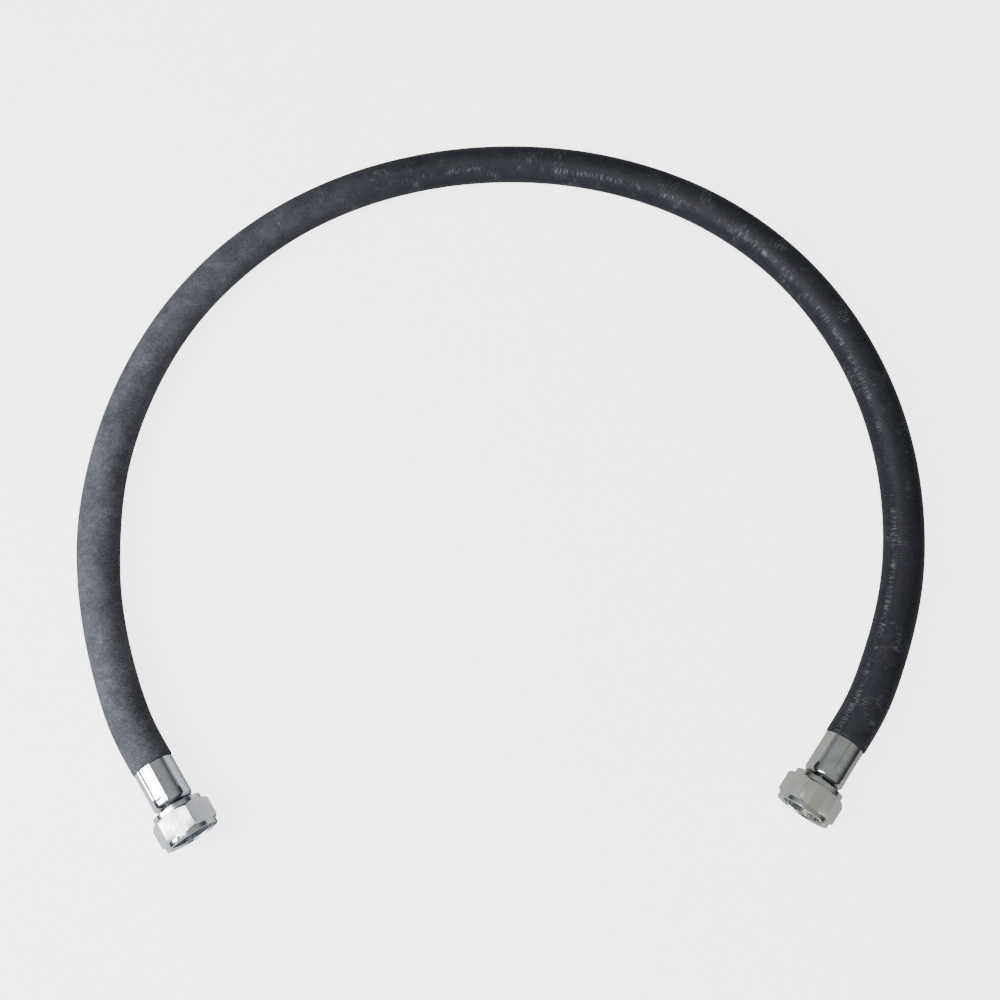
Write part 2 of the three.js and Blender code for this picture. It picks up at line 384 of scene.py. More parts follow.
# %% Group: patches
def patches_group():
    group, given, out = new_group(
        "patches",
        [
            ("Vector", "Vector", None),
            ("Scale", "Float", 30.0),
            ("From", "Float", 0.5),
            ("To", "Float", 0.7),
        ],
        [("Mask", "Float")],
    )
    inputs = {name: given.outputs[name] for name in ("Vector", "Scale")}
    cloud = add(group, "TexNoise", {**inputs, "Detail": 6, "Roughness": 0.65})
    mask = graded(group, cloud.outputs["Fac"], given.outputs["From"], given.outputs["To"])
    group.links.new(mask, out.inputs["Mask"])
    return group


patches = patches_group()
print("group:", patches.name)


def patch_mask(tree, vector, scale, low, high):
    """A mask of patches, roughly scale of them to a metre, that fade in from low to high."""
    made = add(tree, "Group", node_tree=patches)
    tree.links.new(vector, made.inputs["Vector"])
    for socket, value in (("Scale", scale), ("From", low), ("To", high)):
        made.inputs[socket].default_value = value
    return made.outputs["Mask"]


# %% [markdown]
# ## Wrapped rubber
# The cover is black rubber that daylight turns blue-grey. It is matte, but the printed ribs catch
# the light, so the highlight breaks into short ticks. Talc left from curing greys it in long soft
# clouds. The grey also changes with the distance along the hose, which is the U of the UV map: it
# is heavy on the left half and light on the right. That is partly talc wiped off one half, and
# partly painted light, the window's light falling off towards the right. Small pale ticks lie along
# the ribs, in clusters: partly scuffs from handling, partly painted glints of the ribs. They are
# densest in a line along the upper inside of the bend, on the right part of the hose, and that line
# is a painted highlight. A few specks of dust finish it.

# %% Material: wrapped rubber
# The grey fades along the hose: partly talc wiped off, partly painted light, the window's light falling
# off to the right.
TALC_AND_LIGHT_FADE_FROM, TALC_AND_LIGHT_FADE_TO = 0.5, 0.85  # metres along the hose
TALC_AND_LIGHT_MOST, TALC_AND_LIGHT_LEAST = 0.62, 0.12
TALC_EVEN = 0.35  # the part of the talc that lies everywhere; the rest is in patches
CLOUDS, CLOUD_SHARE = (9.0, 0.3, 0.7), 0.4
BLOTCHES, BLOTCH_SHARE = (60.0, 0.35, 0.7), 0.55
MOTTLE, MOTTLE_SHARE = (420.0, 0.35, 0.65), 0.55
# The line below is a painted highlight along the upper inside of the bend.
HIGHLIGHT_LINE = 0.37  # where round the hose the painted highlight runs: 0.5 is the top, 0.25 the inside
HIGHLIGHT_CORE, HIGHLIGHT_REACH = 0.005, 0.04  # turns each side of that line: painted highlight strongest, and present at all
HIGHLIGHT_FROM, HIGHLIGHT_FULL = 0.6, 1.0  # metres along the hose
# Pale ticks along the ribs: partly scuffs, partly painted glints of the ribs.
TICK_STRETCH = (1700, 30, 1)  # ticks are short along the hose and long around it
TICKS = (0.5, 0.48, 0.62)
CLUSTERS = (34.0, 0.54, 0.68)
HIGHLIGHT_CHAIN = (48.0, 0.42, 0.6)
SPECKS = (520, 0.65, 0.72)


def product(tree, *factors):
    result = factors[0]
    for factor in factors[1:]:
        result = math_of(tree, "MULTIPLY", result, factor)
    return result


def talc_and_painted_light_on(tree, solid, along):
    """How much talc and painted window light grey each spot, from 0 to about 1."""
    # Heavy on the left half: partly talc, partly painted window light that falls off to the right.
    talc_and_light_fade = graded(tree, along, TALC_AND_LIGHT_FADE_FROM, TALC_AND_LIGHT_FADE_TO, TALC_AND_LIGHT_MOST, TALC_AND_LIGHT_LEAST)
    clouds = patch_mask(tree, solid, *CLOUDS)
    blotches = patch_mask(tree, solid, *BLOTCHES)
    mottle = patch_mask(tree, solid, *MOTTLE)
    uneven = math_of(tree, "MULTIPLY", mottle, MOTTLE_SHARE)
    uneven = math_of(tree, "MULTIPLY_ADD", clouds, CLOUD_SHARE, uneven)
    uneven = math_of(tree, "MULTIPLY_ADD", blotches, BLOTCH_SHARE, uneven)
    return math_of(tree, "MULTIPLY", talc_and_light_fade, math_of(tree, "ADD", uneven, TALC_EVEN))


def scuffs_and_glints_on(tree, solid, flat, along, around):
    """Pale marks: ticks on the ribs in clusters, partly scuffs and partly painted glints; a chain of
    them as a painted highlight line; and specks.
    """
    streaky = add(tree, "Mapping", {"Vector": flat, "Scale": TICK_STRETCH})
    ticks = patch_mask(tree, streaky.outputs[0], *TICKS)
    clusters = patch_mask(tree, solid, *CLUSTERS)
    # Painted highlight: a chain of pale ticks along one line round the hose, on its right part.
    off_line = math_of(tree, "ABSOLUTE", math_of(tree, "SUBTRACT", around, HIGHLIGHT_LINE))
    line = graded(tree, off_line, HIGHLIGHT_CORE, HIGHLIGHT_REACH, 1, 0)
    highlit = graded(tree, along, HIGHLIGHT_FROM, HIGHLIGHT_FULL)
    highlight_chain = product(tree, line, highlit, patch_mask(tree, solid, *HIGHLIGHT_CHAIN))
    where = math_of(tree, "MULTIPLY_ADD", highlight_chain, 1.5, clusters)
    strokes = product(tree, ticks, where, 0.27)
    specks = product(tree, patch_mask(tree, solid, *SPECKS), 0.45)
    return math_of(tree, "MAXIMUM", strokes, specks)


# The pale grey below is talc, and on the left half it is also painted window light. The palest is pale
# scuffs and painted glints on the ribs.
BARE_RUBBER = (0.0055, 0.0068, 0.0105, 1)
TALC_AND_LIT_RUBBER = (0.1, 0.102, 0.118, 1)
SCUFF_AND_GLINT_RUBBER = (0.3, 0.31, 0.33, 1)
BARE_ROUGHNESS, TALCED_ROUGHNESS = 0.42, 0.8
GRAIN = (700.0, 0.3, 0.7)
PRINT_DEPTH = 0.07 * MM


def wrapped_rubber():
    material, tree, shader = new_material("wrapped rubber", Specular_IOR_Level=0.16)
    place = add(tree, "TexCoord")
    solid, flat = place.outputs["Object"], place.outputs["UV"]
    split = add(tree, "SeparateXYZ", {0: flat})
    along, around = split.outputs["X"], split.outputs["Y"]
    # The talc mask also holds painted window light, and the pale marks hold painted glints.
    talc_and_painted_light = talc_and_painted_light_on(tree, solid, along)
    scuffs_and_glints = scuffs_and_glints_on(tree, solid, flat, along, around)
    base = mixed(tree, talc_and_painted_light, BARE_RUBBER, TALC_AND_LIT_RUBBER)
    colour = mixed(tree, scuffs_and_glints, base, SCUFF_AND_GLINT_RUBBER)
    tree.links.new(colour, shader.inputs["Base Color"])
    roughness = graded(tree, talc_and_painted_light, 0, 0.6, BARE_ROUGHNESS, TALCED_ROUGHNESS)
    tree.links.new(roughness, shader.inputs["Roughness"])
    ribs = add(tree, "Group", {"UV": flat}, node_tree=crossing_lines).outputs["Height"]
    grain = patch_mask(tree, solid, *GRAIN)
    height = math_of(tree, "MULTIPLY_ADD", grain, 1.2, ribs)
    bump = add(tree, "Bump", {"Height": height, "Distance": PRINT_DEPTH, "Strength": 0.7})
    tree.links.new(bump.outputs[0], shader.inputs["Normal"])
    return material


# %% [markdown]
# ## Liner rubber, seal rubber and braided wire
# The inner layers are hidden under the cover and inside the ferrules, so their materials are
# simple, but each is still its own stuff: a smooth oil-proof liner, a glossy nitrile seal, and
# brassed wire whose braid is two sets of lines that cross.

# %% Materials: smooth rubber and braid
def smooth_rubber(name, colour, roughness):
    material, tree, shader = new_material(name)
    place = add(tree, "TexCoord")
    cloud = patch_mask(tree, place.outputs["Object"], 60, 0.4, 0.7)
    pale = tuple(1.6 * c for c in colour)
    tree.links.new(mixed(tree, cloud, (*colour, 1), (*pale, 1)), shader.inputs["Base Color"])
    tree.links.new(graded(tree, cloud, 0, 1, roughness, roughness + 0.15), shader.inputs["Roughness"])
    return material


WIRE_GAP = (0.2, 0.17, 0.12, 1)  # brassed wire in the shade between two strands
WIRE_TOP = (0.62, 0.55, 0.4, 1)
BRAID_PITCH = 0.0036
BRAID_SLANT = 30.0
BRAID_DEPTH = 0.2 * MM


def braided_wire():
    material, tree, shader = new_material("braided wire", metallic=1.0)
    flat = add(tree, "TexCoord").outputs["UV"]
    height = None
    for slant in (BRAID_SLANT, -BRAID_SLANT):
        inputs = {"UV": flat, "Pitch": BRAID_PITCH, "Slant": slant, "Cross": 0.0}
        lines = add(tree, "Group", inputs, node_tree=crossing_lines).outputs["Height"]
        height = lines if height is None else math_of(tree, "MAXIMUM", height, lines)
    colour = mixed(tree, height, WIRE_GAP, WIRE_TOP)
    tree.links.new(colour, shader.inputs["Base Color"])
    shader.inputs["Roughness"].default_value = 0.35
    bump = add(tree, "Bump", {"Height": height, "Distance": BRAID_DEPTH})
    tree.links.new(bump.outputs[0], shader.inputs["Normal"])
    return material


# %% [markdown]
# ## Zinc plate
# The fittings are steel with a clear-passivated zinc plate. The film on it is thinner than a
# wavelength of light in places, so it has a faint cast that drifts between blue, straw and violet.
# Turning leaves fine rings, and they run round each piece, so they follow its UV map, where U is
# the distance along the axis. Tumbling in the plating drum leaves tiny dents, which bend the
# reflections. The film is one group, and the rings and dents together are another, because every
# zinc finish here uses both. The left fitting's colour is tinted brighter and cooler, and the right
# one's darker and warmer.

# %% Group: plating film
CASTS = {
    # scale of the patches: colour that the film multiplies the metal by
    55: (0.78, 0.88, 1.0),  # blue
    83: (1.0, 0.95, 0.78),  # straw
    130: (0.85, 0.8, 0.92),  # violet
}


def plating_film_group():
    group, given, out = new_group(
        "plating film",
        [("Vector", "Vector", None), ("Metal", "Color", None), ("Strength", "Float", 0.5)],
        [("Color", "Color")],
    )
    colour = given.outputs["Metal"]
    for scale, cast in CASTS.items():
        cloud = patch_mask(group, given.outputs["Vector"], scale, 0.42, 0.66)
        amount = math_of(group, "MULTIPLY", cloud, given.outputs["Strength"])
        tinted = add(group, "VectorMath", {0: colour, 1: cast}, operation="MULTIPLY").outputs[0]
        colour = mixed(group, amount, colour, tinted)
    group.links.new(colour, out.inputs["Color"])
    return group


plating_film = plating_film_group()
print("group:", plating_film.name)


# %% Group: worked surface
def worked_surface_group():
    group, given, out = new_group(
        "worked surface",
        [
            ("UV", "Vector", None),
            ("Vector", "Vector", None),
            ("Ring Pitch", "Float", 0.0002),
            ("Dents", "Float", 0.5),
        ],
        [("Height", "Float")],
    )
    along = add(group, "SeparateXYZ", {0: given.outputs["UV"]}).outputs["X"]
    turns = math_of(group, "DIVIDE", along, given.outputs["Ring Pitch"])
    place = add(group, "CombineXYZ", {0: turns})
    rings = add(group, "TexNoise", {"Vector": place.outputs[0], "Scale": 1.0, "Detail": 2.0})
    dents = add(group, "TexNoise", {"Vector": given.outputs["Vector"], "Scale": 420.0, "Detail": 3.0})
    deep = math_of(group, "MULTIPLY", dents.outputs["Fac"], given.outputs["Dents"])
    height = math_of(group, "MULTIPLY_ADD", rings.outputs["Fac"], 0.25, deep)
    group.links.new(height, out.inputs["Height"])
    return group


worked_surface = worked_surface_group()
print("group:", worked_surface.name)


# %% Material: zinc plate
# Tints for the two fittings: the left one brighter and cooler, the right one darker and warmer.
LEFT_END_TINT = (0.98, 1.01, 1.05, 1)
RIGHT_END_TINT = (0.9, 0.91, 0.84, 1)
END_TINT_LIMITS = (-0.1, 0.1)  # x: no piece of a fitting lies between these two
GRIME = (240, 0.58, 0.8)
HAZE = (95, 0.4, 0.7)
WORKED_DEPTH = 0.02 * MM


def zinc_plate(name, metal, roughness, film=0.5, dents=0.5):
    material, tree, shader = new_material(name, metallic=1.0)
    place = add(tree, "TexCoord")
    solid, flat = place.outputs["Object"], place.outputs["UV"]
    inputs = {"Vector": solid, "Metal": (*metal, 1), "Strength": film}
    plated = add(tree, "Group", inputs, node_tree=plating_film).outputs["Color"]
    grime = patch_mask(tree, solid, *GRIME)
    dark = tuple(0.4 * c for c in metal)
    soiled = mixed(tree, math_of(tree, "MULTIPLY", grime, 0.5), plated, (*dark, 1))
    end = graded(tree, add(tree, "SeparateXYZ", {0: solid}).outputs["X"], *END_TINT_LIMITS)
    end_tint = mixed(tree, end, LEFT_END_TINT, RIGHT_END_TINT)
    colour = add(tree, "VectorMath", {0: soiled, 1: end_tint}, operation="MULTIPLY").outputs[0]
    tree.links.new(colour, shader.inputs["Base Color"])
    haze = patch_mask(tree, solid, *HAZE)
    tree.links.new(graded(tree, haze, 0, 1, roughness, roughness + 0.1), shader.inputs["Roughness"])
    inputs = {"UV": flat, "Vector": solid, "Dents": dents}
    height = add(tree, "Group", inputs, node_tree=worked_surface).outputs["Height"]
    bump = add(tree, "Bump", {"Height": height, "Distance": WORKED_DEPTH})
    tree.links.new(bump.outputs[0], shader.inputs["Normal"])
    return material


# %% [markdown]
# ## Every finish of the assembly
# The zinc isn't equally bright all over a fitting. The pressed ferrule is the shiniest. The turned
# parts of a nut are a little duller, its flats are duller still, and the thread in its mouth is the
# palest. The insert is painted dark as painted shade, for the shadow deep in its neck between the
# ferrule and the nut, and the wire is a plain grey.

# %% All the finishes
COVER_RUBBER = wrapped_rubber()
LINER_RUBBER = smooth_rubber("liner rubber", (0.012, 0.012, 0.013), 0.4)
SEAL_RUBBER = smooth_rubber("seal rubber", (0.01, 0.01, 0.01), 0.3)
BRAIDED_WIRE = braided_wire()
FERRULE_ZINC = zinc_plate("pressed zinc", (0.66, 0.67, 0.68), 0.07, film=0.6, dents=1.0)
# The insert's dark colour is painted shade: it stands for the shadow deep in the neck between ferrule
# and nut.
INSERT_ZINC_PAINTED_SHADE = zinc_plate("insert zinc in painted shade", (0.2, 0.2, 0.21), 0.3)
NUT_ZINC = zinc_plate("turned nut zinc", (0.66, 0.67, 0.67), 0.14)
FLAT_ZINC = zinc_plate("flats of the nut", (0.73, 0.73, 0.72), 0.37, film=0.3, dents=0.2)
CUT_ZINC = zinc_plate("cut thread", (0.86, 0.88, 0.9), 0.24, film=0.3, dents=1.0)
DRAWN_WIRE = zinc_plate("drawn wire", (0.5, 0.5, 0.5), 0.3)
print("finishes:", [material.name for material in bpy.data.materials])

# %% [markdown]
# ## The cover
# The cover is the hose that shows. It runs from ferrule to ferrule and ends square against them,
# a hair short of touching. It is a little out of round where the hose was pulled out of its coil,
# and its surface swells and dips by a tenth of a millimetre or so, which keeps the long highlight
# from looking drawn with a ruler.

# %% Hose cover
GAP = 0.3 * MM
COVER_WALL = 2.35 * MM
FLATTENED = ((0.245, 0.055, 0.07), (0.59, 0.05, 0.035))  # where, how far each way, how much wider
LOWERED = 0.3  # how much lower it gets, as a part of how much wider
SWELL = 0.14 * MM
SWELL_SCALE = 14.0  # swells to a metre along the hose
SWELL_AROUND = 0.6  # how much a swell changes round the hose
CORNER, CORNER_LONG = 0.7 * MM, 1.2 * MM  # how far its ends are rounded inwards, and over what length


def cover_skin(distance, angle):
    across, up = math.cos(angle) * SWELL_AROUND, math.sin(angle) * SWELL_AROUND
    radius = HOSE_RADIUS + SWELL * noise.noise(Vector((distance * SWELL_SCALE, across, up)))
    wider = sum(
        much * math.exp(-(((distance - where) / reach) ** 2)) for where, reach, much in FLATTENED
    )
    edge = min(distance - GAP, HOSE_LENGTH - GAP - distance)
    turned_in = CORNER * max(0.0, 1 - edge / CORNER_LONG) ** 2
    return radius * (1 + wider) - turned_in, radius * (1 - LOWERED * wider) - turned_in


def cover_bore(distance, angle):
    return HOSE_RADIUS - COVER_WALL, HOSE_RADIUS - COVER_WALL


cover_mesh = laid_tube(GAP, HOSE_LENGTH - GAP, cover_skin, cover_bore, rings=(900, 150), sides=(64, 32))
cover = finish_piece(cover_mesh, "cover", "hose", "hose_cover", COVER_RUBBER)
[tuple(p) for p in stations(GAP, HOSE_LENGTH - GAP, 300)[1]]

# %% [markdown]
# ## The layers inside
# Under the cover are a wire braid, a thin film of rubber, a second braid and the smooth tube that
# holds the oil. They run on into the ferrules, where the crimp squeezes them onto the insert. Each
# one is the same rolled tube with other radii, and one rule narrows them all at the ends.

# %% Inner layers
LAYERS = {
    # piece: (node, inner and outer radius in millimetres, slot, finish)
    "outer_wire_braid": ("outer_braid", 16.3, 17.3, "braid_wire", BRAIDED_WIRE),
    "rubber_film": ("braid_insulation", 15.9, 16.25, "liner_rubber", LINER_RUBBER),
    "inner_wire_braid": ("inner_braid", 14.8, 15.85, "braid_wire", BRAIDED_WIRE),
    "oil_tube": ("inner_tube", 12.7, 14.75, "liner_rubber", LINER_RUBBER),
}
FREE = (12.7, 17.4)  # radii of the bore and of the outer braid where nothing squeezes them
CRIMPED = (12.5, 16.0)  # the same two under the crimp
TAPER_LENGTH = 12  # millimetres over which they narrow
TAPER_FROM = 14  # millimetres of free hose left where the narrowing starts


def squeezed(radius):
    """A rule for one radius: full size along the hose, narrowed where a ferrule grips it."""
    share = (radius - FREE[0]) / (FREE[1] - FREE[0])
    tight = CRIMPED[0] + share * (CRIMPED[1] - CRIMPED[0])

    def half_sizes(distance, angle):
        free = min(distance, HOSE_LENGTH - distance) / MM
        grip = min(max((TAPER_FROM - free) / TAPER_LENGTH, 0), 1)
        size = (radius + (tight - radius) * grip) * MM
        return size, size

    return half_sizes


for name, (node, inner, outer, slot, finish) in LAYERS.items():
    layer = laid_tube(-GRIP, HOSE_LENGTH + GRIP, squeezed(outer), squeezed(inner))
    finish_piece(layer, name, "hose", node, finish)

# %% [markdown]
# ## Turned pieces
# Ferrule, insert and nut all start on a lathe, and Blender's lathe is the spin operator: it takes
# an outline and sweeps it round an axis. The outline is a short list of corners, written as a
# distance along the axis and a radius, in millimetres. Round corners come from a small function
# that cuts each named corner into an arc. The spin merges its last step with its first.

# %% Turning an outline
STEPS = 96  # facets round a turned piece


def rounded(outline, corners, segments=4):
    """The outline with some corners rounded; corners is {index: radius}."""
    result = []
    for i, point in enumerate(outline):
        here = Vector(point)
        if i not in corners:
            result.append(here)
            continue
        before = (Vector(outline[i - 1]) - here).normalized()
        after = (Vector(outline[(i + 1) % len(outline)]) - here).normalized()
        half = before.angle(after) / 2
        back = corners[i] / math.tan(half)
        centre = here + (before + after).normalized() * corners[i] / math.sin(half)
        start, stop = here + before * back - centre, here + after * back - centre
        for step in range(segments + 1):
            result.append(centre + start.slerp(stop, step / segments) * corners[i])
    return result


def spin_outline(bm, outline, closed=True, steps=STEPS, turns=1, climb=0.0):
    """Turns an outline round the X axis. A climb moves it that far along the axis in every step."""
    verts = [bm.verts.new((x * MM, 0, r * MM)) for x, r in outline]
    edges = [bm.edges.new(pair) for pair in zip(verts, verts[1:])]
    if closed:
        edges.append(bm.edges.new((verts[-1], verts[0])))
    bmesh.ops.spin(
        bm,
        geom=verts + edges,
        cent=(0, 0, 0),
        axis=(1, 0, 0),
        dvec=(climb * MM, 0, 0),
        angle=turns * math.tau,
        steps=round(turns * steps),
        use_merge=turns == 1 and climb == 0,
    )


def map_turned(bm, flat_faces=()):
    """Gives a turned piece its UV map: metres along the axis, and turns around it."""
    uv = bm.loops.layers.uv.verify()
    for face in bm.faces:
        middle = face.calc_center_median()
        facing = math.atan2(middle.y, middle.z)
        across = face.normal.cross((1, 0, 0))
        for loop in face.loops:
            place = loop.vert.co
            if face in flat_faces:
                loop[uv].uv = (place.dot(across), place.x)
                continue
            turn = math.atan2(place.y, place.z) - facing
            turn -= math.tau * round(turn / math.tau)
            loop[uv].uv = (place.x, (turn + facing) / math.tau)


def turned_piece(outline, steps=STEPS):
    bm = bmesh.new()
    spin_outline(bm, outline, steps=steps)
    bmesh.ops.recalc_face_normals(bm, faces=bm.faces[:])
    map_turned(bm)
    return bm


def place_at(bm, end):
    bmesh.ops.transform(bm, matrix=FITTINGS[end], verts=bm.verts[:])
    return bm


# %% [markdown]
# ## The ferrules
# A ferrule is a plain turned sleeve until the press closes eight dies on it. Each die leaves a
# broad face, slightly flatter than round, and metal squeezed up between two dies leaves a narrow
# ridge. The dies are shorter than the sleeve, so a round band stays at the neck end, and each face
# runs out into it in a small scallop. The sleeve is turned first, with steps fine enough for the
# ridges. Then its outer points are pressed in, as the dies do it, and the whole sleeve is turned so
# that the ridges lie where the press left them. All sizes are in millimetres and degrees.

# %% Ferrules
FERRULE_LENGTH = 42.2
DIES = 8
DIE_FACE = 18.35  # radius at the middle of a die's face
BAND = 18.75  # radius of the band that the dies miss
FLATTER = 0.16  # how flat a die's face is: 0 is round, 1 is flat
RIDGE = 0.4  # height of a ridge
RIDGE_FROM, RIDGE_RISE = 19.2, 1.9  # degrees from a face's middle, and over how many it rises
RIDGE_LIMIT = 0.35  # most that a ridge stands above the band
RIDGE_PHASES = {"a": 7, "b": -1}  # degrees from straight up
DIE_END = 34.6  # along the sleeve: where the middle of a face ends
SCALLOP = 2.4  # how much earlier it ends at a ridge
DIE_FADE = 2.2  # length over which it comes up to the band
OUTER_SKIN = 17.6  # all points further out than this are on the outside
FERRULE_STEPS = 384
FERRULE_SHARP = math.radians(20)


def ferrule_outline():
    """Its hose edge, rows for the dies to press, the shoulder, and the plain inside."""
    back = [(0, 17.4), (0, BAND)]
    rows = [(x, BAND) for x in (1.2, 6, 12, 18, 24, 28, 29, 30, 31, 32, 33, 34, 35, 36)]
    shoulder = [(39.2, BAND), (FERRULE_LENGTH, BAND - 2.2), (FERRULE_LENGTH, 12.9)]
    inside = [(36.5, 12.9), (36.5, 16.35), (2.4, 16.35)]
    outline = back + rows + shoulder + inside
    at = len(back + rows)
    return rounded(outline, {0: 0.25, 1: 0.5, at: 3.4, at + 1: 0.7}, 5)


def pressed_radius(x, radius, angle):
    """Where the dies leave a point of the outer skin."""
    step = 360 / DIES
    off = abs(math.degrees(angle) % step - step / 2)  # 0 at a face's middle, step / 2 at a ridge
    face = DIE_FACE * (1 - FLATTER + FLATTER / math.cos(math.radians(off)))
    ridge = RIDGE * min(max((off - RIDGE_FROM) / RIDGE_RISE, 0), 1)
    runs_out = DIE_END - SCALLOP * (off / (step / 2)) ** 2
    depth = min(max((runs_out - x) / DIE_FADE, 0), 1)
    depth = depth * depth * (3 - 2 * depth)
    pressed = min(face + ridge, BAND + RIDGE_LIMIT) - BAND
    return radius + pressed * depth


def make_ferrule(end):
    bm = bmesh.new()
    spin_outline(bm, ferrule_outline(), steps=FERRULE_STEPS)
    for vert in bm.verts:
        x, radius = vert.co.x / MM, math.hypot(vert.co.y, vert.co.z) / MM
        if radius > OUTER_SKIN:
            wanted = pressed_radius(x, radius, math.atan2(vert.co.y, vert.co.z))
            vert.co.y *= wanted / radius
            vert.co.z *= wanted / radius
    bmesh.ops.recalc_face_normals(bm, faces=bm.faces[:])
    phase = Matrix.Rotation(math.radians(-RIDGE_PHASES[end]), 3, "X")
    bmesh.ops.rotate(bm, cent=(0, 0, 0), matrix=phase, verts=bm.verts[:])
    map_turned(bm)
    return place_at(bm, end)


for end in FITTINGS:
    ferrule = make_ferrule(end)
    name, node = f"crimped_ferrule_{end}", f"ferrule_{end}"
    finish_piece(ferrule, name, "hose", node, FERRULE_ZINC, FERRULE_SHARP)

# %% [markdown]
# ## The inserts
# The insert is the piece the oil runs through, turned from one bar. Its barbed tail goes up the
# hose, and the ferrule crimps the hose onto it. Then come a plain neck, a head that the nut pulls
# on, and a nose with a 24 degree cone that seals in the port. It is one outline and one spin. The
# tail's barbs are four saw teeth, written as a loop.

# %% Inserts
BORE = 10
NOSE_FOOT = (59.5, 17.4)  # where the cone starts, and its radius there
NOSE_SLOPE = math.tan(math.radians(12))  # each side of a 24 degree cone slopes by half of it


def nose_radius(x):
    return NOSE_FOOT[1] - (x - NOSE_FOOT[0]) * NOSE_SLOPE


def insert_outline():
    tail = [(3, BORE), (3, 11.1), (5, 12.4)]
    for tooth in range(4):
        x = 7 + 8 * tooth
        tail += [(x, 12.4), (x + 0.6, 11.7), (x + 3.6, 12.4)]
    neck = [(42.5, 12.4), (42.5, 13.8), (52.5, 13.8)]
    head = [(53, 18), (54.7, 18), (54.7, 16.9), (57.9, 16.9), (57.9, 18.6), (59.5, 18.6), NOSE_FOOT]
    nose = [(62.3, nose_radius(62.3)), (62.3, 14.2), (65.5, 14.2), (65.5, nose_radius(65.5))]
    tip = [(69.5, nose_radius(69.5)), (69.5, BORE + 0.6), (68.9, BORE)]
    outline = tail + neck + head + nose + tip
    at = len(tail + neck + head + nose)
    return rounded(outline, {at: 0.7, at - 1: 0.2, at - 4: 0.2, len(tail) + 1: 0.5}, 3)


for end in FITTINGS:
    insert = place_at(turned_piece(insert_outline()), end)
    finish_piece(insert, f"barbed_insert_{end}", "hose", f"insert_{end}", INSERT_ZINC_PAINTED_SHADE)

# %% [markdown]
# ## Nose seals and thrust wires
# A rubber ring sits in the nose's groove, and a ring of steel wire locks the nut onto the head. The
# seal is a whole ring, so it is a circle spun all the way round. The wire was threaded in through a
# hole, so it is an open ring with a small gap: the same circle, spun almost all the way and capped.

# %% Rings
RING_STEPS = 80
SECTION_SIDES = 24
SEAL = (63.9, 15.75, 1.18)  # place along the axis, radius of the ring, radius of its section
WIRE = (56.3, 18.5, 1.12)
WIRE_OPENING = 0.03  # turns


def ring_piece(x, radius, section, opening=0.0):
    bm = bmesh.new()
    bmesh.ops.create_circle(
        bm, radius=section * MM, segments=SECTION_SIDES, cap_ends=opening > 0
    )
    lift = Matrix.Translation((x * MM, 0, radius * MM)) @ Matrix.Rotation(math.pi / 2, 4, "X")
    bmesh.ops.transform(bm, matrix=lift, verts=bm.verts[:])
    sweep = {"cent": (0, 0, 0), "axis": (1, 0, 0), "steps": RING_STEPS}
    if opening:
        copied = bmesh.ops.duplicate(bm, geom=bm.faces[:])
        moving = [g for g in copied["geom"] if isinstance(g, bmesh.types.BMFace)]
        edges = list(moving[0].edges)
        turned = bmesh.ops.spin(bm, geom=edges, angle=(1 - opening) * math.tau, **sweep)
        end_edges = [e for e in turned["geom_last"] if isinstance(e, bmesh.types.BMEdge)]
        bmesh.ops.delete(bm, geom=moving, context="FACES_ONLY")
        bmesh.ops.contextual_create(bm, geom=end_edges)
        bmesh.ops.remove_doubles(bm, verts=bm.verts[:], dist=WELD)
    else:
        bmesh.ops.spin(bm, geom=bm.edges[:], angle=math.tau, use_merge=True, **sweep)
    bmesh.ops.recalc_face_normals(bm, faces=bm.faces[:])
    map_turned(bm)
    return bm


for end in FITTINGS:
    seal = place_at(ring_piece(*SEAL), end)
    finish_piece(seal, f"seal_ring_{end}", "hose", f"nose_seal_{end}", SEAL_RUBBER)
    wire = place_at(ring_piece(*WIRE, opening=WIRE_OPENING), end)
    finish_piece(wire, f"lock_wire_{end}", "hose", f"thrust_wire_{end}", DRAWN_WIRE)

# %% [markdown]
# ## The swivel nuts
# A swivel nut is cut from hexagon bar. A round collar is turned at the back, a round ring at the
# front, and both ends of the hexagon are chamfered to a cone, which is what gives each flat its
# curved ends. To get those curves, the outline is spun round with two rows of points for the
# hexagon, and then every point of those rows is drawn out to the hexagon and slid along to where
# the cone cuts it. A fine bevel on the hexagon's edges is what catches the light. All sizes are in
# millimetres.

# %% Nut body
FLATS = 50  # across the flats
COLLAR = 23.3  # radius
RING = 25.4  # radius
HEX_FROM, HEX_TO = 50.2, 73  # the hexagon's two ends, along the axis
HEX_FOOT = 24  # radius where the rear chamfer starts
CONE = math.tan(math.radians(30))  # how steeply both chamfers slope
THREAD_FROM, THREAD_TO = 58.6, 76.4
THREAD_SKIN = 21.3  # the thread is joined to the body at this radius
REAR_ROW, FRONT_ROW = 41.0, 42.0  # stand-in radii that mark the hexagon's two rows of points


def hexagon_radius(angle):
    off = (math.degrees(angle) + 30) % 60 - 30
    return FLATS / 2 / math.cos(math.radians(off))


def nut_outline():
    """From the thread's back end round the outside to the thread's mouth end."""
    inside = [(THREAD_FROM, THREAD_SKIN), (52.3, THREAD_SKIN), (52.3, 15.5), (45.5, 15.5)]
    collar = [(45.5, COLLAR), (HEX_FROM, COLLAR), (HEX_FROM, HEX_FOOT)]
    hexagon = [(53, REAR_ROW), (71, FRONT_ROW), (HEX_TO, RING)]
    ring = [(77.5, RING), (77.5, 22.2), (THREAD_TO, THREAD_SKIN)]
    outline = inside + collar + hexagon + ring
    return rounded(outline, {3: 0.3, 4: 0.45, 10: 0.4, 11: 0.15}, 4)


